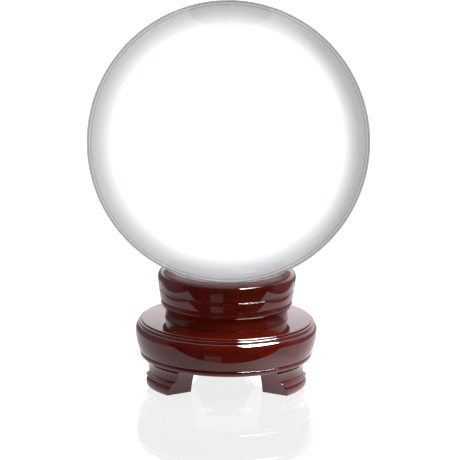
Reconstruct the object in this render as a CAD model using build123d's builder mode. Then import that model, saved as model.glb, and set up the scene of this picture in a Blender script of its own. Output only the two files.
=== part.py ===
from build123d import *

import os
from math import atan2, cos, degrees, radians, sin, sqrt, tan

# A clear glass ball resting on a turned and lacquered hardwood stand: a dished collar on a short neck,
# a round-bellied base disc and three bracket feet. The origin is on the floor under the ball's centre,
# +Z is up, and the two front feet stand either side of -Y. All sizes are in millimetres.

# Ball and its seat
ball_radius = 75.0
seat_clearance = 0.3
seat_rim_inset = 5.9
seat_rim_drop = 0.2

# Heights of the stand, from the floor up
foot_height = 14.7
base_thickness = 21.2
neck_height = 6.9
collar_height = 19.7

# Collar: its radii are counted in from its widest part, the shoulder
collar_radius = 36.9
neck_inset = 3.8
neck_hollow = 0.4
bead_inset = 1.7
bead_height = 3.7
collar_foot_inset = 1.4
shoulder_drop = 4.9
land_inset = 3.6
land_drop = 0.5
collar_line_height = 9.2
line_depth = 0.5
line_width = 0.8

# Base disc: its radii are counted in from its widest part, the belly
base_radius = 48.6
belly_drop = 6.7
belly_top_inset = 1.4
belly_top_drop = 3.35
lip_inset = 2.4
lip_bottom_inset = 3.6
lip_height = 2.9
lip_widest_share = 0.6
step_inset = 1.6
step_nose = 0.4
table_inset = 2.9
table_edge = 0.6
table_fall = 0.7

# Feet: their outer radii are counted in from the base disc's lip
foot_count = 3
foot_rim_inset = 1.9
foot_waist_inset = 4.2
foot_top_inset = 1.6
foot_depth = 17.0
foot_half_width = 9.8
foot_top_half_width = 19.6
foot_taper = 1.0
foot_top_taper = 18.0
foot_arch = 0.4
foot_band_height = 5.6
foot_bead_height = 1.7
foot_bead_ledge = 0.17

# Joints between the wooden pieces
glue_gap = 0.05
spigot_radius = 22.0
spigot_length = 12.0
dowel_radius = 2.0
dowel_length = 15.0
dowel_chamfer = 0.4
dowel_edge_distance = 4.0

# Countersunk wood screws
screw_count = 3
screw_start_angle = 90.0
screw_circle_radius = 12.0
screw_radius = 2.0
screw_grip = 16.0
screw_head_radius = 4.0
screw_point_length = 4.0
screw_hole_gap = 0.1
cross_width = 1.0
cross_depth = 1.4
cross_taper = 10.0

# Radii that follow from the sizes above
neck_radius = collar_radius - neck_inset
bead_radius = collar_radius - bead_inset
collar_foot_radius = collar_radius - collar_foot_inset
land_radius = collar_radius - land_inset
seat_rim_radius = collar_radius - seat_rim_inset
seat_radius = ball_radius + seat_clearance
belly_top_radius = base_radius - belly_top_inset
lip_radius = base_radius - lip_inset
lip_bottom_radius = base_radius - lip_bottom_inset
step_radius = base_radius - step_inset
table_radius = base_radius - table_inset
foot_rim_radius = lip_radius - foot_rim_inset
foot_waist_radius = lip_radius - foot_waist_inset
foot_top_radius = lip_radius - foot_top_inset
foot_inner_radius = foot_rim_radius - foot_depth
dowel_circle_radii = {
    "inner": foot_inner_radius + dowel_edge_distance,
    "outer": foot_waist_radius - dowel_edge_distance,
}

# Levels that follow from the sizes above
base_bottom = foot_height
base_top = base_bottom + base_thickness
neck_top = base_top + neck_height
collar_top = neck_top + collar_height
spigot_bottom = base_top - spigot_length
seat_rim_z = collar_top - seat_rim_drop
ball_centre_z = seat_rim_z + sqrt(seat_radius**2 - seat_rim_radius**2)
screw_length = base_thickness - spigot_length + screw_grip
screw_head_height = screw_head_radius - screw_radius
underside = Plane(origin=(0, 0, base_bottom), x_dir=(1, 0, 0), z_dir=(0, 0, -1))
spigot_end = Plane(origin=(0, 0, spigot_bottom), x_dir=(1, 0, 0), z_dir=(0, 0, -1))

# The first foot stands at the back, and the others follow round the axis
foot_angles = {"foot_rear": 90.0, "foot_front_left": 210.0, "foot_front_right": 330.0}


def direction(angle):
    """The level direction at an angle round the axis, counted from +X."""
    return Vector(cos(radians(angle)), sin(radians(angle)), 0)


def radial_plane(angle):
    """The upright plane through the axis at that angle: x runs outwards and y runs up."""
    return Plane(origin=(0, 0, 0), x_dir=direction(angle), z_dir=direction(angle - 90))


def facing_plane(angle, distance):
    """The upright plane square to that direction, a distance out from the axis: x runs across and y up."""
    return Plane(origin=direction(angle) * distance, x_dir=direction(angle + 90), z_dir=direction(angle))


def half_width_at(half_width, rim, taper, distance):
    """A foot's half width at a distance from the axis, given its half width at its rim."""
    return half_width - (rim - distance) * tan(radians(taper))


os.makedirs("parts", exist_ok=True)


# Crystal ball: one solid sphere of clear glass
with BuildPart() as crystal_ball:
    with Locations((0, 0, ball_centre_z)):
        Sphere(ball_radius)
crystal_ball.part.label = "crystal_ball"
export_step(crystal_ball.part, "parts/crystal_ball.step")


# Seat collar: spigot, neck, bead, flared side with one turned line, rounded shoulder and a dished top
side_slope = collar_foot_inset / (collar_height - bead_height - shoulder_drop)
bead_top = neck_top + bead_height
shoulder_z = collar_top - shoulder_drop
line_z = neck_top + collar_line_height
line_radius = collar_foot_radius + (line_z - bead_top) * side_slope
rim_point = (seat_rim_radius, seat_rim_z)
dish_half_angle = 0.5 * Vector(seat_rim_radius, seat_rim_z - ball_centre_z).get_angle(Vector(0, -1))
dish_mid = (
    seat_radius * sin(radians(dish_half_angle)),
    ball_centre_z - seat_radius * cos(radians(dish_half_angle)),
)
dish_bottom = (0, ball_centre_z - seat_radius)

with BuildPart() as seat_collar:
    with BuildSketch(Plane.XZ):
        with BuildLine():
            spigot = Polyline(
                dish_bottom,
                (0, spigot_bottom),
                (spigot_radius, spigot_bottom),
                (spigot_radius, base_top),
                (neck_radius, base_top),
            )
            neck = ThreePointArc(
                spigot @ 1,
                (neck_radius - neck_hollow, base_top + neck_height / 2),
                (neck_radius, neck_top),
            )
            under_bead = Line(neck @ 1, (bead_radius - line_depth, neck_top))
            bead = ThreePointArc(
                under_bead @ 1,
                (bead_radius, neck_top + bead_height / 2),
                (bead_radius - line_depth, bead_top - line_width / 2),
            )
            side = Polyline(
                bead @ 1,
                (collar_foot_radius, bead_top),
                (line_radius - side_slope * line_width / 2, line_z - line_width / 2),
                (line_radius - line_depth, line_z),
                (line_radius + side_slope * line_width / 2, line_z + line_width / 2),
                (collar_radius, shoulder_z),
            )
            shoulder = TangentArc(side @ 1, (land_radius, collar_top - land_drop), tangent=(side_slope, 1))
            land = ThreePointArc(
                shoulder @ 1,
                ((land_radius + seat_rim_radius) / 2, collar_top - seat_rim_drop / 2),
                rim_point,
            )
            dish = ThreePointArc(rim_point, dish_mid, dish_bottom)
        make_face()
    revolve(axis=Axis.Z)
    with Locations(spigot_end):
        with PolarLocations(screw_circle_radius, screw_count, start_angle=-screw_start_angle):
            Hole(screw_radius + screw_hole_gap, screw_grip + glue_gap)
seat_collar.part.label = "seat_collar"
export_step(seat_collar.part, "parts/seat_collar.step")


# Base disc: lip, round belly, a fine step and a gently falling table, with a blind bore for the spigot
lip_top = base_bottom + lip_height
belly_low = (lip_radius, lip_top + line_width / 2)
belly_widest = (base_radius, base_top - belly_drop)
belly_high = (belly_top_radius, base_top - belly_top_drop)
table_rim_z = base_top - table_fall
step_bottom = base_top - belly_top_drop + line_width / 4
table_bottom = table_rim_z - table_edge
step_top = table_bottom - line_width / 2
bore_radius = spigot_radius + glue_gap
bore_floor = spigot_bottom - glue_gap

with BuildPart() as base_disc:
    with BuildSketch(Plane.XZ):
        with BuildLine():
            bottom = Polyline((0, bore_floor), (0, base_bottom), (lip_bottom_radius, base_bottom))
            lip = ThreePointArc(
                bottom @ 1,
                (lip_radius, base_bottom + lip_height * lip_widest_share),
                (lip_radius - line_depth, lip_top),
            )
            lip_line = Line(lip @ 1, belly_low)
            belly = TangentArc(belly_widest, belly_low, tangent=(0, -1))
            upper_belly = TangentArc(belly_widest, belly_high, tangent=(0, 1))
            step_line = Line(belly_high, (step_radius - step_nose, step_bottom))
            step = ThreePointArc(
                step_line @ 1,
                (step_radius, (step_bottom + step_top) / 2),
                (step_radius - step_nose, step_top),
            )
            table_groove = Polyline(
                step @ 1,
                (table_radius - line_depth, (step_top + table_bottom) / 2),
                (table_radius, table_bottom),
            )
            table_round = TangentArc(
                table_groove @ 1, (table_radius - table_edge, table_rim_z), tangent=(0, 1)
            )
            table = Polyline(
                table_round @ 1,
                (neck_radius, base_top),
                (bore_radius, base_top),
                (bore_radius, bore_floor),
                bottom @ 0,
            )
        make_face()
    revolve(axis=Axis.Z)
    with Locations(underside):
        with PolarLocations(screw_circle_radius, screw_count, start_angle=-screw_start_angle):
            CounterSinkHole(screw_radius + screw_hole_gap, screw_head_radius + screw_hole_gap)
        for radius in dowel_circle_radii.values():
            with PolarLocations(radius, foot_count, start_angle=-foot_angles["foot_rear"]):
                Hole(dowel_radius + glue_gap, dowel_length / 2 + glue_gap)
base_disc.part.label = "base_disc"
export_step(base_disc.part, "parts/base_disc.step")


# Feet: each is a turned moulding, cut to an arched bracket that narrows towards the axis
band_sweep = 2 * degrees(atan2(foot_top_half_width, foot_inner_radius))
band_inner_radius = foot_inner_radius / 2
loft_outer_radius = foot_top_radius + band_inner_radius
bead_low = foot_band_height + line_width / 4
bead_high = bead_low + foot_bead_height
waist_z = (bead_high + foot_height) / 2 - foot_arch / 2

for foot_name, foot_angle in foot_angles.items():
    with BuildPart() as foot:
        with BuildSketch(radial_plane(foot_angle - band_sweep / 2)):
            with BuildLine():
                floor_line = Line((band_inner_radius, 0), (foot_rim_radius - 2 * line_depth, 0))
                band = ThreePointArc(
                    floor_line @ 1,
                    (foot_rim_radius, foot_band_height / 2),
                    (foot_rim_radius - 2 * line_depth, foot_band_height),
                )
                foot_bead = ThreePointArc(
                    band @ 1,
                    (foot_rim_radius - line_depth, (foot_band_height + bead_high) / 2),
                    (foot_waist_radius + line_depth, bead_high),
                )
                bead_step = Line(foot_bead @ 1, (foot_waist_radius + foot_bead_ledge, bead_high))
                cove = ThreePointArc(
                    bead_step @ 1,
                    (foot_waist_radius + foot_bead_ledge, waist_z),
                    (foot_top_radius, foot_height),
                )
                Polyline(cove @ 1, (band_inner_radius, foot_height), floor_line @ 0)
            make_face()
        revolve(axis=Axis.Z, revolution_arc=band_sweep)
        for distance in (foot_inner_radius, loft_outer_radius):
            low_half = half_width_at(foot_half_width, foot_rim_radius, foot_taper, distance)
            high_half = half_width_at(foot_top_half_width, foot_top_radius, foot_top_taper, distance)
            waist_half = (low_half + high_half) / 2 - foot_arch
            with BuildSketch(facing_plane(foot_angle, distance)):
                with BuildLine():
                    foot_bottom = Line((-low_half, 0), (low_half, 0))
                    right_arch = ThreePointArc(
                        (low_half, 0), (waist_half, foot_height / 2), (high_half, foot_height)
                    )
                    foot_top = Line((high_half, foot_height), (-high_half, foot_height))
                    left_arch = ThreePointArc(
                        (-high_half, foot_height), (-waist_half, foot_height / 2), (-low_half, 0)
                    )
                make_face()
        loft(mode=Mode.INTERSECT)
        with Locations(Plane(origin=(0, 0, foot_height))):
            for radius in dowel_circle_radii.values():
                with Locations(direction(foot_angle) * radius):
                    Hole(dowel_radius + glue_gap, dowel_length / 2 + glue_gap)
    foot.part.label = foot_name
    export_step(foot.part, f"parts/{foot_name}.step")


# Dowels: two upright in each foot, half in the foot and half in the base disc
for foot_name, foot_angle in foot_angles.items():
    for place, radius in dowel_circle_radii.items():
        dowel_name = f"{foot_name}_dowel_{place}"
        with BuildPart() as dowel:
            with Locations(direction(foot_angle) * radius + Vector(0, 0, foot_height)):
                Cylinder(dowel_radius, dowel_length)
            chamfer(dowel.edges().filter_by(GeomType.CIRCLE), dowel_chamfer)
        dowel.part.label = dowel_name
        export_step(dowel.part, f"parts/{dowel_name}.step")


# Collar screws: countersunk cross-head wood screws, flush with the underside of the base disc
for number in range(screw_count):
    screw_angle = screw_start_angle + 360.0 / screw_count * number
    screw_plane = Plane(
        origin=direction(screw_angle) * screw_circle_radius + Vector(0, 0, base_bottom),
        x_dir=direction(screw_angle),
        z_dir=(0, 0, 1),
    )
    with BuildPart() as collar_screw:
        with BuildSketch(Plane(screw_plane.origin, screw_plane.x_dir, direction(screw_angle - 90))):
            with BuildLine():
                Polyline(
                    (0, 0),
                    (screw_head_radius, 0),
                    (screw_radius, screw_head_height),
                    (screw_radius, screw_length - screw_point_length),
                    (0, screw_length),
                    close=True,
                )
            make_face()
        revolve(axis=Axis(screw_plane.origin, (0, 0, 1)))
        with BuildSketch(screw_plane):
            Rectangle(screw_head_radius, cross_width)
            Rectangle(cross_width, screw_head_radius)
        extrude(amount=cross_depth, taper=cross_taper, mode=Mode.SUBTRACT)
    screw_name = f"collar_screw_{number + 1}"
    collar_screw.part.label = screw_name
    export_step(collar_screw.part, f"parts/{screw_name}.step")
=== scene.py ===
from math import atan2, cos, pi, radians, sin, sqrt, tan

import bmesh
import bpy
from mathutils import Matrix, Quaternion, Vector


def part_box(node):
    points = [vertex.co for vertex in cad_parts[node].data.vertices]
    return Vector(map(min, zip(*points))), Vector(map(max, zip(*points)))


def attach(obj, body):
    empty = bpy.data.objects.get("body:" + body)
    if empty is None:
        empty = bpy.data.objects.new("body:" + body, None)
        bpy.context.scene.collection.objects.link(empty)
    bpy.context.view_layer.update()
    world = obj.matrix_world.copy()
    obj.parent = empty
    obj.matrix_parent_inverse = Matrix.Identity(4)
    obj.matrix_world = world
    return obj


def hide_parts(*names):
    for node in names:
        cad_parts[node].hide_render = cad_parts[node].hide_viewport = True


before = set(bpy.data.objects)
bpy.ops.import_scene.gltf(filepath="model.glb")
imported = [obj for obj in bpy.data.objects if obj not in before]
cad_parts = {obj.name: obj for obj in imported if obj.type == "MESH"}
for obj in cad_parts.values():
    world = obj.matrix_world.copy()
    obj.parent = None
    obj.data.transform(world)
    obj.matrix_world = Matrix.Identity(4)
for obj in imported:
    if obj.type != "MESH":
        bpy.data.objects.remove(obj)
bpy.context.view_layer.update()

MM = 0.001

# ---------------------------------------------------------------- sizes, in millimetres and degrees
ball_low, ball_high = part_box("crystal_ball")
BALL_RADIUS = (ball_high.z - ball_low.z) / 2 / MM
BALL_CENTRE = (ball_high.z + ball_low.z) / 2 / MM
BASE_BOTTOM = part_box("base_disc")[0].z / MM
BASE_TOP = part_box("base_disc")[1].z / MM
COLLAR_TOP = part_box("seat_collar")[1].z / MM
SPIGOT_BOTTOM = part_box("seat_collar")[0].z / MM

SEAT_CLEARANCE = 0.3
SEAT_RIM_RADIUS = 31.0
SEAT_RIM_DROP = 0.2
NECK_HEIGHT = 6.9
NECK_RADIUS = 33.1
NECK_HOLLOW = 0.4
BEAD_RADIUS = 35.2
BEAD_HEIGHT = 3.7
COLLAR_FOOT_RADIUS = 35.5
COLLAR_RADIUS = 36.9
SHOULDER_DROP = 4.9
LAND_RADIUS = 33.3
LAND_DROP = 0.5
COLLAR_LINE_HEIGHT = 9.2
LINE_DEPTH = 0.5
LINE_WIDTH = 0.8
SPIGOT_RADIUS = 22.0
GLUE_GAP = 0.05

BASE_RADIUS = 48.6
BELLY_DROP = 6.7
BELLY_TOP_RADIUS = 47.2
BELLY_TOP_DROP = 3.35
LIP_RADIUS = 46.2
LIP_BOTTOM_RADIUS = 45.0
LIP_HEIGHT = 2.9
LIP_WIDEST_SHARE = 0.6
LIP_FALL = 0.12
STEP_RADIUS = 47.0
STEP_NOSE = 0.4
TABLE_RADIUS = 45.7
TABLE_EDGE = 0.6
TABLE_FALL = 0.7

FOOT_HEIGHT = BASE_BOTTOM
FOOT_ANGLES = {"foot_rear": 90, "foot_front_left": 210, "foot_front_right": 330}
FOOT_RIM_RADIUS = 44.3
FOOT_WAIST_RADIUS = 42.0
FOOT_TOP_RADIUS = 44.6
FOOT_INNER_RADIUS = 27.3
FOOT_HALF_WIDTH = 9.8
FOOT_TOP_HALF_WIDTH = 19.6
FOOT_TAPER = 1.0
FOOT_TOP_TAPER = 18.0
FOOT_ARCH = 0.4
FOOT_BAND_HEIGHT = 5.6
FOOT_BEAD_HEIGHT = 1.7
FOOT_BEAD_LEDGE = LINE_DEPTH / 3
FOOT_EDGE_ROUND = 0.45
DOWEL_RADIUS = 2.0
DOWEL_LENGTH = 15.0
DOWEL_CHAMFER = 0.4
DOWEL_FLUTES = 10
DOWEL_SEGMENTS = 60
DOWEL_CIRCLE_RADII = {"inner": 31.3, "outer": 38.0}
SCREW_CIRCLE_RADIUS = 12.0
SCREW_RADIUS = 2.0
SCREW_HOLE_GAP = 0.1
SCREW_HEAD_RADIUS = 4.0
SCREW_HEAD_EDGE = 0.15
SCREW_COUNT = 3
SCREW_LENGTH = 25.2
SCREW_POINT_LENGTH = 4.0
SCREW_THREAD_START = 7.0
SINKING_OVERLAP = 0.2
LACQUER_ROUND = 0.22
TURNED_SEGMENTS = 192
ROUND_SEGMENTS = 48
BALL_SQUARES = 120
SHARP_ANGLE = 35


# ---------------------------------------------------------------- outlines
def arc(start, middle, end, steps=10):
    """Points from start to end on the circle through three points, without the start."""
    a, b, c = Vector(start), Vector(middle), Vector(end)
    d = 2 * (a.x * (b.y - c.y) + b.x * (c.y - a.y) + c.x * (a.y - b.y))
    ux = (a.dot(a) * (b.y - c.y) + b.dot(b) * (c.y - a.y) + c.dot(c) * (a.y - b.y)) / d
    uy = (a.dot(a) * (c.x - b.x) + b.dot(b) * (a.x - c.x) + c.dot(c) * (b.x - a.x)) / d
    centre = Vector((ux, uy))
    angles = [atan2(p.y - uy, p.x - ux) for p in (a, b, c)]
    sweep = (angles[2] - angles[0]) % (2 * pi)
    if (angles[1] - angles[0]) % (2 * pi) > sweep:
        sweep -= 2 * pi
    radius = (a - centre).length
    return [
        (ux + radius * cos(angles[0] + sweep * i / steps), uy + radius * sin(angles[0] + sweep * i / steps))
        for i in range(1, steps + 1)
    ]


def tangent_arc(start, tangent, end, steps=10):
    """Points on the arc that leaves start along tangent and ends at end, without the start."""
    s, e, t = Vector(start), Vector(end), Vector(tangent).normalized()
    chord = e - s
    normal = Vector((-t.y, t.x))
    radius = chord.dot(chord) / (2 * chord.dot(normal))
    centre = s + normal * radius
    half = (s - centre) + (e - centre)
    middle = centre + half.normalized() * abs(radius)
    return arc(s, middle, e, steps)


def turn_at(before, corner, after):
    """How far an outline turns at a corner, either way."""
    return abs((corner - before).angle_signed(after - corner, 0.0))


def rounded_corner(before, corner, after, radius, steps=4):
    """Points that round one corner of an outline, taking less than half of the lines beside it."""
    into, out = corner - before, after - corner
    most = 0.45 * min(into.length, out.length)
    reach = min(radius * tan(turn_at(before, corner, after) / 2), most)
    start, end = corner - into.normalized() * reach, corner + out.normalized() * reach
    shares = [i / steps for i in range(steps + 1)]
    return [start * (1 - t) ** 2 + corner * (2 * t * (1 - t)) + end * t**2 for t in shares]


def soften(points, radius, sharp=25):
    """The same outline with its sharp corners rounded to that radius, as thick lacquer leaves them."""
    points = [Vector(point) for point in points]
    rounded = [points[0]]
    for before, corner, after in zip(points, points[1:], points[2:]):
        on_axis = before.x <= 0 and corner.x <= 0
        if turn_at(before, corner, after) < radians(sharp) or on_axis:
            rounded.append(corner)
        else:
            rounded += rounded_corner(before, corner, after, radius)
    return rounded + [points[-1]]


def round_loop(corners, radius, sharp=30):
    """A closed loop of points with its sharp corners rounded."""
    corners = [Vector(corner) for corner in corners]
    loop = []
    for before, corner, after in zip(corners[-1:] + corners, corners, corners[1:] + corners[:1]):
        if turn_at(before, corner, after) < radians(sharp):
            loop.append(corner)
        else:
            loop += rounded_corner(before, corner, after, radius)
    return loop


def collar_outline():
    """Half section of the seat collar, from the dish's middle down, out and up to the rim."""
    neck_top = BASE_TOP + NECK_HEIGHT
    bead_top = neck_top + BEAD_HEIGHT
    shoulder = COLLAR_TOP - SHOULDER_DROP
    slope = (COLLAR_RADIUS - COLLAR_FOOT_RADIUS) / (shoulder - bead_top)
    line_z = neck_top + COLLAR_LINE_HEIGHT
    line_radius = COLLAR_FOOT_RADIUS + (line_z - bead_top) * slope
    half_line = LINE_WIDTH / 2
    seat = BALL_RADIUS + SEAT_CLEARANCE
    points = [
        (0, BALL_CENTRE - seat),
        (0, SPIGOT_BOTTOM),
        (SPIGOT_RADIUS, SPIGOT_BOTTOM),
        (SPIGOT_RADIUS, BASE_TOP),
        (NECK_RADIUS, BASE_TOP),
    ]
    neck_waist = (NECK_RADIUS - NECK_HOLLOW, BASE_TOP + NECK_HEIGHT / 2)
    points += arc(points[-1], neck_waist, (NECK_RADIUS, neck_top))
    bead_edge = BEAD_RADIUS - LINE_DEPTH
    points.append((bead_edge, neck_top))
    points += arc(
        points[-1], (BEAD_RADIUS, neck_top + BEAD_HEIGHT / 2), (bead_edge, bead_top - half_line), 12
    )
    points += [
        (COLLAR_FOOT_RADIUS, bead_top),
        (line_radius - slope * half_line, line_z - half_line),
        (line_radius - LINE_DEPTH, line_z),
        (line_radius + slope * half_line, line_z + half_line),
        (COLLAR_RADIUS, shoulder),
    ]
    land = (LAND_RADIUS, COLLAR_TOP - LAND_DROP)
    rim = (SEAT_RIM_RADIUS, COLLAR_TOP - SEAT_RIM_DROP)
    points += tangent_arc(points[-1], (slope, 1), land, 14)
    points += arc(land, ((LAND_RADIUS + SEAT_RIM_RADIUS) / 2, COLLAR_TOP - SEAT_RIM_DROP / 2), rim, 6)
    dish_angle = atan2(rim[0], BALL_CENTRE - rim[1]) / 2
    points += arc(rim, (seat * sin(dish_angle), BALL_CENTRE - seat * cos(dish_angle)), points[0], 24)
    return points


def base_outline():
    """Half section of the base disc, from the bore's floor down, out, up and back into the bore."""
    lip_top = BASE_BOTTOM + LIP_HEIGHT
    belly_low = (LIP_RADIUS, lip_top + LINE_WIDTH / 2)
    belly_widest = (BASE_RADIUS, BASE_TOP - BELLY_DROP)
    belly_high = (BELLY_TOP_RADIUS, BASE_TOP - BELLY_TOP_DROP)
    table_rim = BASE_TOP - TABLE_FALL
    step_bottom = belly_high[1] + LINE_WIDTH / 4
    table_bottom = table_rim - TABLE_EDGE
    step_top = table_bottom - LINE_WIDTH / 2
    bore_floor = SPIGOT_BOTTOM - GLUE_GAP
    points = [(0, bore_floor), (0, BASE_BOTTOM), (LIP_BOTTOM_RADIUS, BASE_BOTTOM)]
    lip_widest = (LIP_RADIUS, BASE_BOTTOM + LIP_HEIGHT * LIP_WIDEST_SHARE)
    points += arc(points[-1], lip_widest, (LIP_RADIUS - LIP_FALL, lip_top - LIP_FALL), 12)
    points += [(LIP_RADIUS - LINE_DEPTH, lip_top), belly_low]
    points += list(reversed(tangent_arc(belly_widest, (0, -1), belly_low, 20)))[1:]
    points.append(belly_widest)
    points += tangent_arc(belly_widest, (0, 1), belly_high, 20)
    points.append((STEP_RADIUS - STEP_NOSE, step_bottom))
    points += arc(
        points[-1], (STEP_RADIUS, (step_bottom + step_top) / 2), (STEP_RADIUS - STEP_NOSE, step_top), 8
    )
    points += [
        (TABLE_RADIUS - LINE_DEPTH, (step_top + table_bottom) / 2),
        (TABLE_RADIUS, table_bottom),
    ]
    points += tangent_arc(points[-1], (0, 1), (TABLE_RADIUS - TABLE_EDGE, table_rim), 6)
    bore = SPIGOT_RADIUS + GLUE_GAP
    points += [(NECK_RADIUS, BASE_TOP), (bore, BASE_TOP), (bore, bore_floor), (0, bore_floor)]
    return points


def foot_outline():
    """The outer edge of a foot, from the floor up."""
    bead_low = FOOT_BAND_HEIGHT + LINE_WIDTH / 4
    bead_high = bead_low + FOOT_BEAD_HEIGHT
    waist_z = (bead_high + FOOT_HEIGHT) / 2 - FOOT_ARCH / 2
    nose = FOOT_RIM_RADIUS - 2 * LINE_DEPTH
    points = [(nose - 1, 0), (nose, 0)]
    points += arc((nose, 0), (FOOT_RIM_RADIUS, FOOT_BAND_HEIGHT / 2), (nose, FOOT_BAND_HEIGHT), 14)
    points += arc(
        points[-1],
        (FOOT_RIM_RADIUS - LINE_DEPTH, (FOOT_BAND_HEIGHT + bead_high) / 2),
        (FOOT_WAIST_RADIUS + LINE_DEPTH, bead_high),
        10,
    )
    ledge = FOOT_WAIST_RADIUS + FOOT_BEAD_LEDGE
    points.append((ledge, bead_high))
    points += arc(points[-1], (ledge, waist_z), (FOOT_TOP_RADIUS, FOOT_HEIGHT), 16)
    points.append((FOOT_TOP_RADIUS - 1, FOOT_HEIGHT))
    return points


# ---------------------------------------------------------------- node helpers
def node(tree, kind, inputs=None, **settings):
    """A new node with its settings and inputs, where an input is a plain value or another node's socket."""
    made = tree.nodes.new(kind)
    for name, value in settings.items():
        setattr(made, name, value)
    for key, value in (inputs or {}).items():
        if isinstance(value, bpy.types.NodeSocket):
            tree.links.new(value, made.inputs[key])
        else:
            made.inputs[key].default_value = value
    return made


def math_of(tree, operation, first, second=0.0):
    """The result of a Math node."""
    return node(tree, "ShaderNodeMath", {0: first, 1: second}, operation=operation).outputs[0]


def chain_of(tree, operation, first, *others):
    """The result of one Math operation on three or more values in turn."""
    result = first
    for other in others:
        result = math_of(tree, operation, result, other)
    return result


def new_geometry_tree(name, *inputs):
    """A Geometry Nodes tree with a geometry in and out and these named inputs."""
    tree = bpy.data.node_groups.new(name, "GeometryNodeTree")
    tree.interface.new_socket("Geometry", in_out="INPUT", socket_type="NodeSocketGeometry")
    for label, kind, value in inputs:
        socket = tree.interface.new_socket(label, in_out="INPUT", socket_type=kind)
        if value is not None:
            socket.default_value = value
    tree.interface.new_socket("Geometry", in_out="OUTPUT", socket_type="NodeSocketGeometry")
    return tree, node(tree, "NodeGroupInput")


def finish_tree(tree, given, geometry):
    """Ends a tree in Realize Instances and Set Material."""
    realized = node(tree, "GeometryNodeRealizeInstances", {"Geometry": geometry})
    coated = node(
        tree,
        "GeometryNodeSetMaterial",
        {"Geometry": realized.outputs[0], "Material": given.outputs["Finish"]},
    )
    node(tree, "NodeGroupOutput", {0: coated.outputs[0]})
    return tree


def link(ob):
    """Puts an object in the scene, and returns it."""
    bpy.context.scene.collection.objects.link(ob)
    return ob


def plain_mesh(name, start_mesh, tree, values):
    """The object that a tree makes out of a starting mesh, as a plain mesh with outward faces."""
    ob = link(bpy.data.objects.new(name, start_mesh))
    modifier = ob.modifiers.new("shape", "NODES")
    modifier.node_group = tree
    for item in tree.interface.items_tree:
        if item.in_out == "INPUT" and item.name in values:
            modifier[item.identifier] = values[item.name]
    evaluated = ob.evaluated_get(bpy.context.evaluated_depsgraph_get())
    made = bpy.data.meshes.new_from_object(evaluated)
    ob.modifiers.clear()
    ob.data = made
    made.name = name
    bpy.data.meshes.remove(start_mesh)
    face_outwards(made)
    made.shade_smooth()
    made.set_sharp_from_angle(angle=radians(SHARP_ANGLE))
    return ob


def face_outwards(mesh):
    """Turns every face of a closed mesh outwards."""
    work = bmesh.new()
    work.from_mesh(mesh)
    bmesh.ops.recalc_face_normals(work, faces=work.faces)
    work.to_mesh(mesh)
    work.free()


# ---------------------------------------------------------------- trees
def lathe(tree, outline, segments, swell=None):
    """Nodes that turn an outline round the axis: every outline point becomes a ring of points.

    swell, if given, takes the angle and height sockets and returns how far the surface stands out there.
    """
    count = node(tree, "GeometryNodeAttributeDomainSize", {"Geometry": outline})
    around = math_of(tree, "ADD", segments, 1.0)
    grid = node(
        tree,
        "GeometryNodeMeshGrid",
        {"Vertices X": count.outputs["Point Count"], "Vertices Y": around},
    )
    index = node(tree, "GeometryNodeInputIndex").outputs[0]
    row = math_of(tree, "FLOOR", math_of(tree, "DIVIDE", math_of(tree, "ADD", index, 0.5), around))
    column = math_of(tree, "SUBTRACT", index, math_of(tree, "MULTIPLY", row, around))
    angle = math_of(tree, "MULTIPLY", column, math_of(tree, "DIVIDE", 2 * pi, segments))
    place = node(tree, "GeometryNodeInputPosition").outputs[0]
    sample = node(
        tree,
        "GeometryNodeSampleIndex",
        {"Geometry": outline, "Value": place, "Index": row},
        data_type="FLOAT_VECTOR",
    ).outputs[0]
    if swell:
        parts = node(tree, "ShaderNodeSeparateXYZ", {"Vector": sample}).outputs
        off_axis = math_of(tree, "GREATER_THAN", parts["X"], 1e-6)
        extra = math_of(tree, "MULTIPLY", swell(angle, parts["Z"]), off_axis)
        radius = math_of(tree, "ADD", parts["X"], extra)
        sample = node(tree, "ShaderNodeCombineXYZ", {"X": radius, "Z": parts["Z"]}).outputs[0]
    turned = node(
        tree, "ShaderNodeVectorRotate", {"Vector": sample, "Angle": angle}, rotation_type="Z_AXIS"
    )
    rings = node(
        tree,
        "GeometryNodeSetPosition",
        {"Geometry": grid.outputs["Mesh"], "Position": turned.outputs[0]},
    )
    closed = node(tree, "GeometryNodeMergeByDistance", {"Geometry": rings.outputs[0], "Distance": 1e-6})
    return closed.outputs[0]


def ring_of_points(tree, count, radius, start, height):
    """Nodes that set points evenly round the axis, with the first at the start angle."""
    circle = node(tree, "GeometryNodeMeshCircle", {"Vertices": count, "Radius": radius})
    lift = node(tree, "ShaderNodeCombineXYZ", {"Z": height}).outputs[0]
    turn = node(tree, "ShaderNodeCombineXYZ", {"Z": start}).outputs[0]
    placed = node(
        tree,
        "GeometryNodeTransform",
        {"Geometry": circle.outputs[0], "Translation": lift, "Rotation": turn},
    )
    return placed.outputs[0]


def turning_tree():
    """One turned piece, made from its outline."""
    tree, given = new_geometry_tree(
        "turned_on_lathe",
        ("Segments", "NodeSocketInt", TURNED_SEGMENTS),
        ("Finish", "NodeSocketMaterial", None),
    )
    turned = lathe(tree, given.outputs["Geometry"], given.outputs["Segments"])
    return finish_tree(tree, given, turned)


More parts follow.
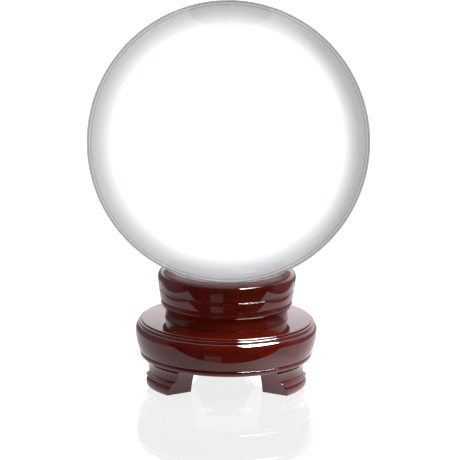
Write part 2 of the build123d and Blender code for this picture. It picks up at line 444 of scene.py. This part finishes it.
def countersunk_tree():
    """The base disc, turned from its outline, with a ring of cone-shaped sinkings for the screw heads."""
    tree, given = new_geometry_tree(
        "turned_and_countersunk",
        ("Segments", "NodeSocketInt", TURNED_SEGMENTS),
        ("Sinking Count", "NodeSocketInt", SCREW_COUNT),
        ("Sinking Circle", "NodeSocketFloat", 0.012),
        ("Start Angle", "NodeSocketFloat", 0.0),
        ("Height", "NodeSocketFloat", 0.0),
        ("Mouth Radius", "NodeSocketFloat", 0.0043),
        ("Inner Radius", "NodeSocketFloat", 0.0021),
        ("Depth", "NodeSocketFloat", 0.0022),
        ("Finish", "NodeSocketMaterial", None),
    )
    turned = lathe(tree, given.outputs["Geometry"], given.outputs["Segments"])
    cone = node(
        tree,
        "GeometryNodeMeshCone",
        {
            "Vertices": ROUND_SEGMENTS,
            "Radius Top": given.outputs["Inner Radius"],
            "Radius Bottom": given.outputs["Mouth Radius"],
            "Depth": given.outputs["Depth"],
        },
    )
    points = ring_of_points(
        tree,
        given.outputs["Sinking Count"],
        given.outputs["Sinking Circle"],
        given.outputs["Start Angle"],
        given.outputs["Height"],
    )
    cones = node(
        tree, "GeometryNodeInstanceOnPoints", {"Points": points, "Instance": cone.outputs["Mesh"]}
    )
    apart = node(tree, "GeometryNodeRealizeInstances", {0: cones.outputs[0]})
    cut = node(tree, "GeometryNodeMeshBoolean", {0: turned}, operation="DIFFERENCE", solver="EXACT")
    tree.links.new(apart.outputs[0], cut.inputs[1])
    return finish_tree(tree, given, cut.outputs[0])


def dowel_tree():
    """Fluted dowels from one outline, standing on two circles under the feet."""
    tree, given = new_geometry_tree(
        "fluted_dowels",
        ("Segments", "NodeSocketInt", DOWEL_SEGMENTS),
        ("Flutes", "NodeSocketInt", DOWEL_FLUTES),
        ("Flute Depth", "NodeSocketFloat", 0.00018),
        ("Feet", "NodeSocketInt", len(FOOT_ANGLES)),
        ("Inner Radius", "NodeSocketFloat", 0.03),
        ("Outer Radius", "NodeSocketFloat", 0.04),
        ("Start Angle", "NodeSocketFloat", 0.0),
        ("Height", "NodeSocketFloat", 0.0),
        ("Finish", "NodeSocketMaterial", None),
    )

    def flutes(angle, height):
        wave = math_of(tree, "COSINE", math_of(tree, "MULTIPLY", angle, given.outputs["Flutes"]))
        groove = math_of(tree, "MAXIMUM", wave, 0.0)
        return chain_of(tree, "MULTIPLY", groove, given.outputs["Flute Depth"], -1.0)

    dowel = lathe(tree, given.outputs["Geometry"], given.outputs["Segments"], flutes)
    rings = [
        ring_of_points(
            tree,
            given.outputs["Feet"],
            given.outputs[label],
            given.outputs["Start Angle"],
            given.outputs["Height"],
        )
        for label in ("Inner Radius", "Outer Radius")
    ]
    points = node(tree, "GeometryNodeJoinGeometry")
    for ring in rings:
        tree.links.new(ring, points.inputs[0])
    copies = node(tree, "GeometryNodeInstanceOnPoints", {"Points": points.outputs[0], "Instance": dowel})
    return finish_tree(tree, given, copies.outputs[0])


def screw_tree():
    """Countersunk wood screws from one outline: a helical thread, a cross cut in the head, and copies."""
    tree, given = new_geometry_tree(
        "wood_screws",
        ("Segments", "NodeSocketInt", ROUND_SEGMENTS),
        ("Pitch", "NodeSocketFloat", 0.0018),
        ("Thread Depth", "NodeSocketFloat", 0.0005),
        ("Thread From", "NodeSocketFloat", 0.006),
        ("Cross Width", "NodeSocketFloat", 0.001),
        ("Cross Length", "NodeSocketFloat", 0.004),
        ("Cross Depth", "NodeSocketFloat", 0.0014),
        ("Count", "NodeSocketInt", SCREW_COUNT),
        ("Circle Radius", "NodeSocketFloat", 0.012),
        ("Start Angle", "NodeSocketFloat", 0.0),
        ("Height", "NodeSocketFloat", 0.0),
        ("Finish", "NodeSocketMaterial", None),
    )

    def thread(angle, height):
        turns = math_of(tree, "DIVIDE", height, given.outputs["Pitch"])
        turned = math_of(tree, "DIVIDE", angle, 2 * pi)
        phase = math_of(tree, "FRACT", math_of(tree, "SUBTRACT", turns, turned))
        from_crest = math_of(tree, "ABSOLUTE", math_of(tree, "SUBTRACT", phase, 0.5))
        valley = math_of(tree, "MINIMUM", math_of(tree, "MULTIPLY", from_crest, 3.2), 1.0)
        begun = node(
            tree,
            "ShaderNodeMapRange",
            {
                "Value": height,
                "From Min": given.outputs["Thread From"],
                "From Max": math_of(tree, "ADD", given.outputs["Thread From"], given.outputs["Pitch"]),
            },
        ).outputs[0]
        depth = math_of(tree, "MULTIPLY", given.outputs["Thread Depth"], begun)
        return chain_of(tree, "MULTIPLY", valley, depth, -1.0)

    screw = lathe(tree, given.outputs["Geometry"], given.outputs["Segments"], thread)
    deep = math_of(tree, "MULTIPLY", given.outputs["Cross Depth"], 2.0)
    cut = node(tree, "GeometryNodeMeshBoolean", {0: screw}, operation="DIFFERENCE", solver="EXACT")
    for wide, long in (("Cross Length", "Cross Width"), ("Cross Width", "Cross Length")):
        size = node(
            tree,
            "ShaderNodeCombineXYZ",
            {"X": given.outputs[wide], "Y": given.outputs[long], "Z": deep},
        )
        arm = node(tree, "GeometryNodeMeshCube", {"Size": size.outputs[0]})
        tree.links.new(arm.outputs["Mesh"], cut.inputs[1])
    points = ring_of_points(
        tree,
        given.outputs["Count"],
        given.outputs["Circle Radius"],
        given.outputs["Start Angle"],
        given.outputs["Height"],
    )
    copies = node(tree, "GeometryNodeInstanceOnPoints", {"Points": points, "Instance": cut.outputs[0]})
    return finish_tree(tree, given, copies.outputs[0])


# ---------------------------------------------------------------- materials
def new_material(name):
    """A material and its tree, with the output joined to a new Principled shader."""
    material = bpy.data.materials.new(name)
    material.use_nodes = True
    tree = material.node_tree
    tree.nodes.clear()
    shader = node(tree, "ShaderNodeBsdfPrincipled")
    node(tree, "ShaderNodeOutputMaterial", {"Surface": shader.outputs[0]})
    return material, tree, shader


def clear_glass():
    """Clear glass with painted shade: its colour greys towards its rim, where the eye looks through it at a
    slant, with thin painted dark rings near the rim in place of reflected lines.
    """
    material, tree, shader = new_material("clear_glass")
    slant = node(tree, "ShaderNodeLayerWeight", {"Blend": 0.5}).outputs["Facing"]
    # Painted shade by slant: grey towards the rim, with two thin dark painted rings close to it
    rim_shade_stops = (
        (0.39, 1.0),
        (0.44, 0.72),
        (0.49, 0.53),
        (0.545, 0.40),
        (0.61, 0.30),
        (0.66, 0.27),
        (0.72, 0.25),
        (0.74, 0.22),
        (0.758, 0.09),
        (0.774, 0.22),
        (0.79, 0.38),
        (0.815, 0.3),
        (0.836, 0.03),
        (0.856, 0.03),
        (0.88, 0.4),
        (1.0, 0.8),
    )
    painted_rim_shade = coloured(tree, slant, *[(place, (0.97 * v, 0.98 * v, v)) for place, v in rim_shade_stops])
    tree.links.new(painted_rim_shade, shader.inputs["Base Color"])
    shader.inputs["Roughness"].default_value = 0
    shader.inputs["IOR"].default_value = 1.52
    shader.inputs["Transmission Weight"].default_value = 1
    return material


def band(tree, value, low, high, soft):
    """One between low and high, falling smoothly to nothing over soft on either side."""
    up = node(
        tree,
        "ShaderNodeMapRange",
        {"Value": value, "From Min": low - soft, "From Max": low + soft},
        interpolation_type="SMOOTHSTEP",
    ).outputs[0]
    down = node(
        tree,
        "ShaderNodeMapRange",
        {"Value": value, "From Min": high - soft, "From Max": high + soft},
        interpolation_type="SMOOTHSTEP",
    ).outputs[0]
    return math_of(tree, "SUBTRACT", up, down)


def coloured(tree, factor, *rim_shade_stops):
    """A colour ramp with these stops, each a position and a colour."""
    ramp = node(tree, "ShaderNodeValToRGB", {"Fac": factor})
    marks = ramp.color_ramp.elements
    while len(marks) < len(rim_shade_stops):
        marks.new(0.5)
    for mark, (position, colour) in zip(marks, rim_shade_stops):
        mark.position = position
        mark.color = (*colour, 1)
    return ramp.outputs[0]


def mixed(tree, factor, first, second, blend="MIX"):
    """Two colours blended by a factor."""
    made = node(tree, "ShaderNodeMix", data_type="RGBA", blend_type=blend)
    for key, value in ((0, factor), (6, first), (7, second)):
        if isinstance(value, bpy.types.NodeSocket):
            tree.links.new(value, made.inputs[key])
        else:
            made.inputs[key].default_value = value
    return made.outputs[2]


def noise(tree, coords, scale, detail=3.0, roughness=0.5, stretch=(1, 1, 1)):
    """A noise pattern in the piece's own space. A stretch below one draws it out along that axis."""
    space = node(tree, "ShaderNodeMapping", {"Vector": coords, "Scale": stretch})
    made = node(
        tree,
        "ShaderNodeTexNoise",
        {"Vector": space.outputs[0], "Scale": scale, "Detail": detail, "Roughness": roughness},
    )
    return made.outputs["Fac"]


def lacquered_wood():
    """Dark red hardwood under thick gloss lacquer: long grain, fine pores and a slightly wavy surface."""
    material, tree, shader = new_material("lacquered_wood")
    coords = node(tree, "ShaderNodeTexCoord").outputs["Object"]
    grain = noise(tree, coords, 420.0, 4.0, 0.6, (0.12, 1, 1))
    figure = noise(tree, coords, 45.0, 2.0, 0.5, (0.35, 1, 1))
    body = coloured(
        tree,
        grain,
        (0.25, (0.10, 0.0055, 0.0035)),
        (0.5, (0.155, 0.0095, 0.0050)),
        (0.78, (0.20, 0.0155, 0.007)),
    )
    shade = coloured(tree, figure, (0.3, (0.72, 0.68, 0.68)), (0.7, (1.1, 1.08, 1.05)))
    body = mixed(tree, 1.0, body, shade, "MULTIPLY")
    pores = noise(tree, coords, 1500.0, 1.0, 0.5, (0.45, 1, 1))
    pore_mask = band(tree, pores, 0.62, 2.0, 0.05)
    body = mixed(tree, math_of(tree, "MULTIPLY", pore_mask, 0.3), body, (0.26, 0.055, 0.012, 1))
    tree.links.new(body, shader.inputs["Base Color"])
    dull = noise(tree, coords, 260.0, 3.0)
    rough = node(
        tree, "ShaderNodeMapRange", {"Value": dull, "To Min": 0.28, "To Max": 0.5}
    ).outputs[0]
    tree.links.new(rough, shader.inputs["Roughness"])
    shader.inputs["Specular IOR Level"].default_value = 0.0
    shader.inputs["Coat Weight"].default_value = 1.0
    shader.inputs["Coat Roughness"].default_value = 0.01
    shader.inputs["Coat IOR"].default_value = 1.5
    waves = noise(tree, coords, 70.0, 2.0, 0.55)
    skin = node(
        tree, "ShaderNodeBump", {"Height": waves, "Strength": 0.2, "Distance": 0.00003}
    ).outputs[0]
    tree.links.new(skin, shader.inputs["Coat Normal"])
    ridges = node(tree, "ShaderNodeBump", {"Height": grain, "Strength": 0.25, "Distance": 0.0003})
    tree.links.new(ridges.outputs[0], shader.inputs["Normal"])
    return material


def bare_wood():
    """Plain beech, cut along the grain, with short dark flecks."""
    material, tree, shader = new_material("bare_wood")
    coords = node(tree, "ShaderNodeTexCoord").outputs["Object"]
    grain = noise(tree, coords, 900.0, 4.0, 0.6, (1, 1, 0.08))
    flecks = noise(tree, coords, 1600.0, 1.0, 0.5, (1, 1, 0.25))
    body = coloured(tree, grain, (0.3, (0.42, 0.25, 0.12)), (0.7, (0.62, 0.43, 0.25)))
    spots = band(tree, flecks, 0.62, 2.0, 0.04)
    body = mixed(tree, math_of(tree, "MULTIPLY", spots, 0.5), body, (0.25, 0.13, 0.06, 1))
    tree.links.new(body, shader.inputs["Base Color"])
    rough = node(tree, "ShaderNodeMapRange", {"Value": grain, "To Min": 0.55, "To Max": 0.8}).outputs[0]
    tree.links.new(rough, shader.inputs["Roughness"])
    bump = node(tree, "ShaderNodeBump", {"Height": grain, "Strength": 0.4, "Distance": 0.0001})
    tree.links.new(bump.outputs[0], shader.inputs["Normal"])
    return material


def zinc_steel():
    """Zinc-plated steel with a faint grainy bloom."""
    material, tree, shader = new_material("zinc_steel")
    coords = node(tree, "ShaderNodeTexCoord").outputs["Object"]
    bloom = noise(tree, coords, 900.0, 3.0)
    painted_rim_shade = coloured(tree, bloom, (0.3, (0.50, 0.51, 0.53)), (0.7, (0.68, 0.67, 0.62)))
    tree.links.new(painted_rim_shade, shader.inputs["Base Color"])
    shader.inputs["Metallic"].default_value = 1.0
    rough = node(tree, "ShaderNodeMapRange", {"Value": bloom, "To Min": 0.22, "To Max": 0.42}).outputs[0]
    tree.links.new(rough, shader.inputs["Roughness"])
    bump = node(tree, "ShaderNodeBump", {"Height": bloom, "Strength": 0.3, "Distance": 0.00005})
    tree.links.new(bump.outputs[0], shader.inputs["Normal"])
    return material


# ---------------------------------------------------------------- pieces
def outline_mesh(name, points):
    """An outline in the XZ plane as a mesh of edges, in metres."""
    mesh = bpy.data.meshes.new(name)
    flat = [(p[0] * MM, 0, p[1] * MM) for p in points]
    mesh.from_pydata(flat, [(i, i + 1) for i in range(len(flat) - 1)], [])
    return mesh


def make_collar(finish):
    """The seat collar, turned from its outline."""
    outline = outline_mesh("turned_collar_outline", soften(collar_outline(), LACQUER_ROUND))
    values = {"Segments": TURNED_SEGMENTS, "Finish": finish}
    return plain_mesh("turned_collar", outline, turning_tree(), values)


def make_base(finish):
    """The base disc, with a sinking under it for each screw head, a little wider than the head."""
    outline = outline_mesh("turned_base_outline", soften(base_outline(), LACQUER_ROUND))
    values = {
        "Segments": TURNED_SEGMENTS,
        "Sinking Count": SCREW_COUNT,
        "Sinking Circle": SCREW_CIRCLE_RADIUS * MM,
        "Start Angle": radians(FOOT_ANGLES["foot_rear"]),
        "Height": (BASE_BOTTOM - SINKING_OVERLAP) * MM,
        "Mouth Radius": (SCREW_HEAD_RADIUS + SCREW_HOLE_GAP + SINKING_OVERLAP) * MM,
        "Inner Radius": (SCREW_RADIUS + SCREW_HOLE_GAP) * MM,
        "Depth": (SCREW_HEAD_RADIUS - SCREW_RADIUS + SINKING_OVERLAP) * MM,
        "Finish": finish,
    }
    return plain_mesh("turned_base", outline, countersunk_tree(), values)


def make_ball(finish):
    """A dense ball of even squares, so that it bends light as smoothly as polished glass."""
    work = bmesh.new()
    bmesh.ops.create_cube(work, size=2)
    bmesh.ops.subdivide_edges(work, edges=work.edges, cuts=BALL_SQUARES - 1, use_grid_fill=True)
    centre = Vector((0, 0, BALL_CENTRE * MM))
    for v in work.verts:
        even = Vector([tan(x * pi / 4) for x in v.co])
        v.co = even.normalized() * BALL_RADIUS * MM + centre
    mesh = bpy.data.meshes.new("glass_ball")
    work.to_mesh(mesh)
    work.free()
    mesh.shade_smooth()
    mesh.materials.append(finish)
    return link(bpy.data.objects.new("glass_ball", mesh))


def foot_half_at(distance, height):
    """Half of a foot's width at a distance from the axis and a height: arched lines, widening upwards."""
    low = FOOT_HALF_WIDTH - (FOOT_RIM_RADIUS - distance) * tan(radians(FOOT_TAPER))
    high = FOOT_TOP_HALF_WIDTH - (FOOT_TOP_RADIUS - distance) * tan(radians(FOOT_TOP_TAPER))
    middle = (low + high) / 2 - FOOT_ARCH
    curve = [(low, 0)] + arc((low, 0), (middle, FOOT_HEIGHT / 2), (high, FOOT_HEIGHT), 40)
    for (w0, z0), (w1, z1) in zip(curve, curve[1:]):
        if height <= z1 + 1e-9:
            return w0 + (w1 - w0) * (height - z0) / (z1 - z0)
    return high


def foot_ring(radius, height, across=16):
    """The corners of a foot's level section at a height: a flat inner end and a round front."""
    reach = radius
    for _ in range(8):
        reach = sqrt(radius**2 - foot_half_at(reach, height) ** 2)
    turn = atan2(foot_half_at(reach, height), reach)
    inner_half = foot_half_at(FOOT_INNER_RADIUS, height)
    front = []
    for i in range(across + 1):
        angle = turn * (2 * i / across - 1)
        front.append((radius * cos(angle), radius * sin(angle)))
    return [(FOOT_INNER_RADIUS, -inner_half)] + front + [(FOOT_INNER_RADIUS, inner_half)]


def make_foot(name, angle, finish):
    """A carved foot, built up of level rings from the floor to the base disc."""
    rows = soften(foot_outline(), LACQUER_ROUND)
    work = bmesh.new()
    rings = []
    turn = Matrix.Rotation(radians(angle), 3, "Z")
    for point in rows:
        height = min(max(point.y, 0), FOOT_HEIGHT)
        loop = round_loop(foot_ring(point.x, height), FOOT_EDGE_ROUND)
        rings.append([work.verts.new(turn @ Vector((x * MM, y * MM, height * MM))) for x, y in loop])
    for low, high in zip(rings, rings[1:]):
        for i in range(len(low)):
            j = (i + 1) % len(low)
            work.faces.new((low[i], low[j], high[j], high[i]))
    work.faces.new(list(reversed(rings[0])))
    work.faces.new(rings[-1])
    bmesh.ops.recalc_face_normals(work, faces=work.faces)
    mesh = bpy.data.meshes.new(name)
    work.to_mesh(mesh)
    work.free()
    mesh.shade_smooth()
    mesh.set_sharp_from_angle(angle=radians(SHARP_ANGLE))
    mesh.materials.append(finish)
    return link(bpy.data.objects.new("carved_" + name, mesh))


def make_dowels(finish):
    """Six fluted dowels with chamfered ends, half in the feet and half in the base disc."""
    half = DOWEL_LENGTH / 2
    rim = DOWEL_RADIUS - DOWEL_CHAMFER
    outline = [
        (0, -half),
        (rim, -half),
        (DOWEL_RADIUS, DOWEL_CHAMFER - half),
        (DOWEL_RADIUS, half - DOWEL_CHAMFER),
        (rim, half),
        (0, half),
    ]
    values = {
        "Segments": DOWEL_SEGMENTS,
        "Flutes": DOWEL_FLUTES,
        "Feet": len(FOOT_ANGLES),
        "Inner Radius": DOWEL_CIRCLE_RADII["inner"] * MM,
        "Outer Radius": DOWEL_CIRCLE_RADII["outer"] * MM,
        "Start Angle": radians(FOOT_ANGLES["foot_rear"]),
        "Height": FOOT_HEIGHT * MM,
        "Finish": finish,
    }
    return plain_mesh("fluted_dowels", outline_mesh("dowel_outline", outline), dowel_tree(), values)


def make_screws(finish):
    """Three countersunk screws, driven up through the base disc into the collar."""
    head_height = SCREW_HEAD_RADIUS - SCREW_RADIUS
    shank_end = SCREW_LENGTH - SCREW_POINT_LENGTH
    shank_rows, point_rows = 100, 16
    point_taper, point_share = 0.9, 0.96
    outline = [
        (0, 0),
        (SCREW_HEAD_RADIUS - SCREW_HEAD_EDGE, 0),
        (SCREW_HEAD_RADIUS, SCREW_HEAD_EDGE),
        (SCREW_RADIUS, head_height),
    ]
    for i in range(1, shank_rows + 1):
        outline.append((SCREW_RADIUS, head_height + (shank_end - head_height) * i / shank_rows))
    for i in range(1, point_rows + 1):
        along = i / point_rows
        outline.append(
            (SCREW_RADIUS * (1 - point_taper * along), shank_end + SCREW_POINT_LENGTH * point_share * along)
        )
    outline.append((0, SCREW_LENGTH))
    values = {
        "Segments": ROUND_SEGMENTS,
        "Thread From": SCREW_THREAD_START * MM,
        "Count": SCREW_COUNT,
        "Circle Radius": SCREW_CIRCLE_RADIUS * MM,
        "Start Angle": radians(FOOT_ANGLES["foot_rear"]),
        "Height": BASE_BOTTOM * MM,
        "Finish": finish,
    }
    return plain_mesh("collar_screws", outline_mesh("screw_outline", outline), screw_tree(), values)


glass = clear_glass()
wood = lacquered_wood()

ball = make_ball(glass)
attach(ball, "ball")
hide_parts("crystal_ball")

collar = make_collar(wood)
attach(collar, "stand")
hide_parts("seat_collar")

base = make_base(wood)
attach(base, "stand")
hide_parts("base_disc")

for foot_name, foot_angle in FOOT_ANGLES.items():
    foot = make_foot(foot_name, foot_angle, wood)
    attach(foot, "stand")
    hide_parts(foot_name)

dowels = make_dowels(bare_wood())
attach(dowels, "stand")
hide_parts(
    *[f"{foot_name}_dowel_{place}" for foot_name in FOOT_ANGLES for place in DOWEL_CIRCLE_RADII]
)

screws = make_screws(zinc_steel())
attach(screws, "stand")
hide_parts("collar_screw_1", "collar_screw_2", "collar_screw_3")


# ---------------------------------------------------------------- studio
def plane_mesh(name, low, high, level=0.0):
    """A level rectangle between two corners, in metres."""
    (left, front), (right, back) = low, high
    corners = [(left, front, level), (right, front, level), (right, back, level), (left, back, level)]
    mesh = bpy.data.meshes.new(name)
    mesh.from_pydata(corners, [], [(0, 1, 2, 3)])
    return mesh


def make_floor():
    """A white polished floor: even white, with a faint reflection. Only the camera sees it."""
    mesh = plane_mesh("studio_floor", (-6, -6), (6, 6))
    material, _, shader = new_material("studio_floor")
    shader.inputs["Base Color"].default_value = (0.06, 0.06, 0.06, 1)
    shader.inputs["Roughness"].default_value = 0.02
    shader.inputs["Emission Color"].default_value = (1, 1, 1, 1)
    shader.inputs["Emission Strength"].default_value = 0.82
    mesh.materials.append(material)
    floor = link(bpy.data.objects.new("studio_floor", mesh))
    floor.visible_glossy = False
    floor.visible_transmission = False
    floor.visible_diffuse = False


def make_board():
    """A glowing sheet under the stand that only the lacquer mirrors: a painted reflection of a lit white
    floor, brighter to the right, with a painted pool of light at the front right.
    """
    mesh = plane_mesh("glowing_sheet_for_reflections", (-0.145, -0.073), (0.145, 0.175), -0.0002)
    material = bpy.data.materials.new("glowing_sheet_for_reflections")
    material.use_nodes = True
    tree = material.node_tree
    tree.nodes.clear()
    coords = node(tree, "ShaderNodeTexCoord").outputs["Object"]
    parts = node(tree, "ShaderNodeSeparateXYZ", {"Vector": coords}).outputs
    # Painted light: the glow grows towards the right and gathers in a bright pool at the front right
    across = node(
        tree,
        "ShaderNodeMapRange",
        {"Value": parts["X"], "From Min": -0.05, "From Max": 0.06, "To Min": 0.9, "To Max": 1.35},
        interpolation_type="SMOOTHSTEP",
    ).outputs[0]
    painted_pool_distance = node(tree, "ShaderNodeVectorMath", {0: coords, 1: (0.045, -0.05, 0)}, operation="DISTANCE")
    painted_light_pool = node(
        tree,
        "ShaderNodeMapRange",
        {"Value": painted_pool_distance.outputs["Value"], "From Min": 0.045, "From Max": 0.0, "To Min": 0.0, "To Max": 0.75},
        interpolation_type="SMOOTHSTEP",
    ).outputs[0]
    strength = math_of(tree, "ADD", across, painted_light_pool)
    light = node(tree, "ShaderNodeEmission", {"Color": (1.0, 0.93, 0.99, 1), "Strength": strength})
    clear = node(tree, "ShaderNodeBsdfTransparent")
    ray = node(tree, "ShaderNodeLightPath").outputs
    from_glass = math_of(tree, "MAXIMUM", ray["Is Transmission Ray"], ray["Is Singular Ray"])
    shown = node(tree, "ShaderNodeMixShader", {0: from_glass, 1: light.outputs[0], 2: clear.outputs[0]})
    node(tree, "ShaderNodeOutputMaterial", {"Surface": shown.outputs[0]})
    mesh.materials.append(material)
    board = link(bpy.data.objects.new("glowing_sheet_for_reflections", mesh))
    board.visible_camera = False
    board.visible_diffuse = False
    board.visible_transmission = False
    board.visible_shadow = False


def make_world():
    """A white studio, seen differently by each kind of ray.

    Lacquer mirrors a dark front, pale sides, a ceiling, a window and one bright softbox. Light bent by the
    glass is bright white, a little dimmer from the left. All other rays see an even white, each at its own
    strength.
    """
    world = bpy.data.worlds.new("studio")
    bpy.context.scene.world = world
    world.use_nodes = True
    tree = world.node_tree
    tree.nodes.clear()
    ray = node(tree, "ShaderNodeLightPath").outputs
    way = node(tree, "ShaderNodeTexCoord").outputs["Generated"]
    x, y, z = node(tree, "ShaderNodeSeparateXYZ", {"Vector": way}).outputs
    front = math_of(tree, "MULTIPLY", y, -1.0)
    azimuth = math_of(tree, "DEGREES", math_of(tree, "ARCTAN2", x, front))
    height = math_of(tree, "DEGREES", math_of(tree, "ARCSINE", z))

    def area(az_low, az_high, el_low, el_high, soft, strength):
        """A soft-edged patch between two azimuths and two elevations, in degrees."""
        wide = band(tree, azimuth, az_low, az_high, soft)
        tall = band(tree, height, el_low, el_high, soft)
        return chain_of(tree, "MULTIPLY", wide, tall, strength)

    # The ceiling starts overhead and reaches lower towards the back and the right
    level = math_of(tree, "SQRT", math_of(tree, "SUBTRACT", 1.0, math_of(tree, "MULTIPLY", z, z)))
    level = math_of(tree, "MAXIMUM", level, 0.001)
    rise = math_of(tree, "DIVIDE", z, level)
    ahead = math_of(tree, "DIVIDE", front, level)
    right = math_of(tree, "MAXIMUM", math_of(tree, "DIVIDE", x, level), 0.0)
    ceiling_edge = chain_of(tree, "ADD", ahead, 1.1, math_of(tree, "MULTIPLY", right, -0.45))
    above_edge = math_of(tree, "SUBTRACT", rise, ceiling_edge)
    ceiling = math_of(tree, "MULTIPLY", band(tree, above_edge, 0.0, 1000.0, 0.12), 1.9)

    dark_front = 0.03
    left_side = area(-185, -80, -25, 70, 12, 0.32)
    right_side = area(80, 185, -25, 70, 12, 0.34)
    strip_behind = [area(low, low + 32, 9, 19, 3, 1.0) for low in (-190, 158)]
    wall_behind = [area(low, low + 32, -40, 9, 3, 0.42) for low in (-190, 158)]
    window = area(-31, -8, -80, -26, 1.0, 0.42)
    softbox = area(24, 86, 42, 68, 1.5, 150.0)
    sides = (left_side, right_side, *strip_behind, *wall_behind)
    mirrored = chain_of(tree, "MAXIMUM", dark_front, *sides, window, ceiling, softbox)

    # Each kind of ray sees its own brightness
    through = math_of(tree, "SUBTRACT", 1.3, area(-134, -60, -55, 65, 13, 0.36))
    bent = ray["Is Transmission Ray"]
    only_glossy = math_of(tree, "MULTIPLY", ray["Is Glossy Ray"], math_of(tree, "SUBTRACT", 1.0, bent))
    from_glass = math_of(tree, "MULTIPLY", ray["Is Singular Ray"], only_glossy)
    from_lacquer = math_of(tree, "SUBTRACT", only_glossy, from_glass)
    direct = math_of(tree, "LESS_THAN", ray["Diffuse Depth"], 0.5)
    from_lacquer = math_of(tree, "MULTIPLY", from_lacquer, direct)
    glass_shine, even_light = 0.35, 0.32
    seen = chain_of(
        tree,
        "ADD",
        ray["Is Camera Ray"],
        math_of(tree, "MULTIPLY", from_lacquer, mirrored),
        math_of(tree, "MULTIPLY", from_glass, glass_shine),
        math_of(tree, "MULTIPLY", bent, through),
        math_of(tree, "MULTIPLY", ray["Is Diffuse Ray"], even_light),
    )
    colour = mixed(tree, only_glossy, (1, 1, 1, 1), (1.0, 0.95, 0.99, 1))
    sky = node(tree, "ShaderNodeBackground", {"Color": colour, "Strength": seen})
    node(tree, "ShaderNodeOutputWorld", {"Surface": sky.outputs[0]})


def way_to(azimuth, elevation):
    """The direction at those angles, in degrees: to the right of the front, and up."""
    a, e = radians(azimuth), radians(elevation)
    return Vector((sin(a) * cos(e), -cos(a) * cos(e), sin(e)))


def make_lamp():
    """A large softbox, high on the right and towards the front."""
    light = bpy.data.lights.new("softbox", "AREA")
    light.shape = "RECTANGLE"
    light.size, light.size_y = 0.5, 0.4
    light.energy = 3.9
    lamp = link(bpy.data.objects.new("softbox", light))
    azimuth, elevation, distance, look_height = 62, 48, 0.8, 0.04
    way = way_to(azimuth, elevation)
    lamp.location = way * distance + Vector((0, 0, look_height))
    lamp.rotation_mode = "QUATERNION"
    lamp.rotation_quaternion = way.to_track_quat("Z", "Y")
    lamp.visible_glossy = False
    lamp.visible_transmission = False
    lamp.visible_camera = False


def make_camera():
    """A long lens, a little above the stand, rolled slightly."""
    distance, elevation, azimuth, roll = 1601.4, 13.82, -1.75, 0.68
    look_height = 64.66
    aim_up, aim_right = 0.645696, 0.056914
    camera = link(bpy.data.objects.new("camera", bpy.data.cameras.new("camera")))
    camera.data.sensor_width = 36.0
    camera.data.lens = 234.782609
    camera.data.clip_start = 0.05
    camera.data.clip_end = 50.0
    back = way_to(azimuth, elevation)
    camera.location = Vector((0, 0, look_height * MM)) + back * distance * MM
    facing = (-back).to_track_quat("-Z", "Y")
    roll_by = Quaternion((0, 0, 1), radians(roll))
    raise_by = Quaternion((1, 0, 0), radians(aim_up))
    turn_by = Quaternion((0, 1, 0), -radians(aim_right))
    camera.rotation_mode = "QUATERNION"
    camera.rotation_quaternion = facing @ roll_by @ raise_by @ turn_by
    bpy.context.scene.camera = camera
    bpy.context.scene.view_settings.view_transform = "Standard"


make_floor()
make_board()
make_world()
make_lamp()
make_camera()
